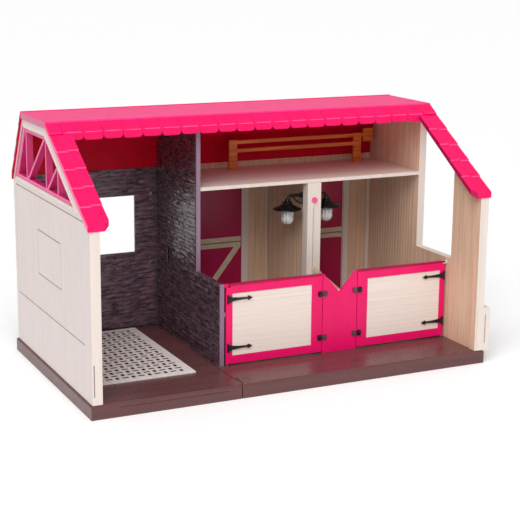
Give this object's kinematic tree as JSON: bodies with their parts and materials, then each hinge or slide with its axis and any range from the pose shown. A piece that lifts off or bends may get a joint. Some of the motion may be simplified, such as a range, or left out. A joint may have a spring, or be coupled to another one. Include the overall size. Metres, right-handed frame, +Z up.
{
  "type": "toy barn",
  "caption": "Toy horse barn with a wash bay, two stalls behind low hinged doors, two-part rear doors, a loft with a rail, lamps and a flat-topped shingled roof.",
  "frame": {"origin": "centre of the whole part's footprint, on the ground under the base", "axes": "+X along the barn's length from the wash bay towards the stalls, +Y from the open front towards the rear doors, +Z up"},
  "size_m": [0.942, 0.528, 0.56],
  "materials": {
    "cream_wall": "satin moulded plastic with fine upright plank grooves",
    "cream_trim": "smooth cream plastic",
    "stone_wall": "dark grey-purple plastic moulded as rough stone courses",
    "lilac_trim": "satin lilac-grey plastic",
    "brown_base": "smooth brown plastic with a soft gloss",
    "pink_roof": "bright pink plastic moulded as shingles",
    "pink_cap": "lighter pink plastic",
    "pink_truss": "mid pink plastic",
    "pink_door": "bright pink plastic",
    "cream_panel": "cream plastic with fine level grooves",
    "magenta_leaf": "deep magenta plastic",
    "cream_bars": "cream-beige plastic",
    "orange_wood": "orange-brown plastic with a light wood grain",
    "black_hinge": "black plastic moulded as wrought iron",
    "black_lamp": "glossy black plastic",
    "lamp_glass": "clear ribbed plastic",
    "bulb": "frosted white",
    "steel": "plain steel wire and screws",
    "cell_jacket": "plain grey jacket",
    "board": "green circuit board with a switch",
    "pink_button": "smooth pink plastic",
    "tap_metal": "dark finish with brass-coloured fittings",
    "cream_tray": "pale plastic grating"
  },
  "bodies": {
    "barn": {"base_left": "brown_base", "base_right": "brown_base", "base_joiners": "brown_base", "drain_tray": "cream_tray", "end_wall_left": "cream_wall", "end_wall_right": "cream_wall", "foot_right": "cream_trim", "gable_truss": "pink_truss", "back_wall_bay": "stone_wall", "back_wall_stalls": "cream_wall", "partition": "stone_wall", "partition_edges": "lilac_trim", "stall_divider": "cream_wall", "divider_wing": "cream_wall", "stall_post": "cream_trim", "battery_cover": "cream_trim", "cover_screw": "steel", "switch_board": "board", "battery_cells": "cell_jacket", "loft_board": "cream_trim", "loft_rail": "orange_wood", "roof_cap": "pink_cap", "roof_front_edge": "pink_roof", "rake_left": "pink_roof", "rake_right": "pink_roof", "roof_rear": "pink_roof", "front_pins": "steel", "pin_lugs": "pink_door", "centre_panel": "pink_door", "centre_catches": "black_hinge", "rear_frame_left": "cream_trim", "rear_frame_right": "cream_trim", "rear_rods": "steel", "lamp_arms": "black_lamp", "lamp_shade_left": "black_lamp", "lamp_shade_right": "black_lamp", "lamp_glass_left": "lamp_glass", "lamp_glass_right": "lamp_glass", "lamp_bulbs": "bulb", "wash_tap": "tap_metal"},
    "door_left": {"door_left_frame": "pink_door", "door_left_panel": "cream_panel", "door_left_straps": "black_hinge", "door_left_catches": "black_hinge"},
    "door_right": {"door_right_frame": "pink_door", "door_right_panel": "cream_panel", "door_right_straps": "black_hinge", "door_right_catches": "black_hinge"},
    "leaf_left_lower": {"rear_left_lower": "magenta_leaf", "rear_left_lower_bars": "cream_bars"},
    "leaf_left_upper": {"rear_left_upper": "magenta_leaf", "rear_left_upper_bars": "cream_bars"},
    "leaf_right_lower": {"rear_right_lower": "magenta_leaf", "rear_right_lower_bars": "cream_bars"},
    "leaf_right_upper": {"rear_right_upper": "magenta_leaf", "rear_right_upper_bars": "cream_bars"},
    "button": {"light_button": "pink_button"}
  },
  "joints": [
    {"name": "door_left_hinge", "type": "hinge", "parent": "barn", "child": "door_left", "pos_m": [-0.118, -0.132, 0.123], "axis": [0, 0, -1], "range_deg": [0, 100]},
    {"name": "door_right_hinge", "type": "hinge", "parent": "barn", "child": "door_right", "pos_m": [0.429, -0.132, 0.123], "axis": [0, 0, 1], "range_deg": [0, 86]},
    {"name": "leaf_left_lower_hinge", "type": "hinge", "parent": "barn", "child": "leaf_left_lower", "pos_m": [-0.061, 0.2295, 0.128], "axis": [0, 0, 1], "range_deg": [0, 95]},
    {"name": "leaf_left_upper_hinge", "type": "hinge", "parent": "barn", "child": "leaf_left_upper", "pos_m": [-0.061, 0.2295, 0.295], "axis": [0, 0, 1], "range_deg": [0, 95]},
    {"name": "leaf_right_lower_hinge", "type": "hinge", "parent": "barn", "child": "leaf_right_lower", "pos_m": [0.3595, 0.2295, 0.128], "axis": [0, 0, -1], "range_deg": [0, 95]},
    {"name": "leaf_right_upper_hinge", "type": "hinge", "parent": "barn", "child": "leaf_right_upper", "pos_m": [0.3595, 0.2295, 0.295], "axis": [0, 0, -1], "range_deg": [0, 95]},
    {"name": "button_press", "type": "slide", "parent": "barn", "child": "button", "axis": [0, 1, 0], "range_m": [0, 0.002], "stiffness_N_per_m": 300, "springref_m": -0.002}
  ]
}
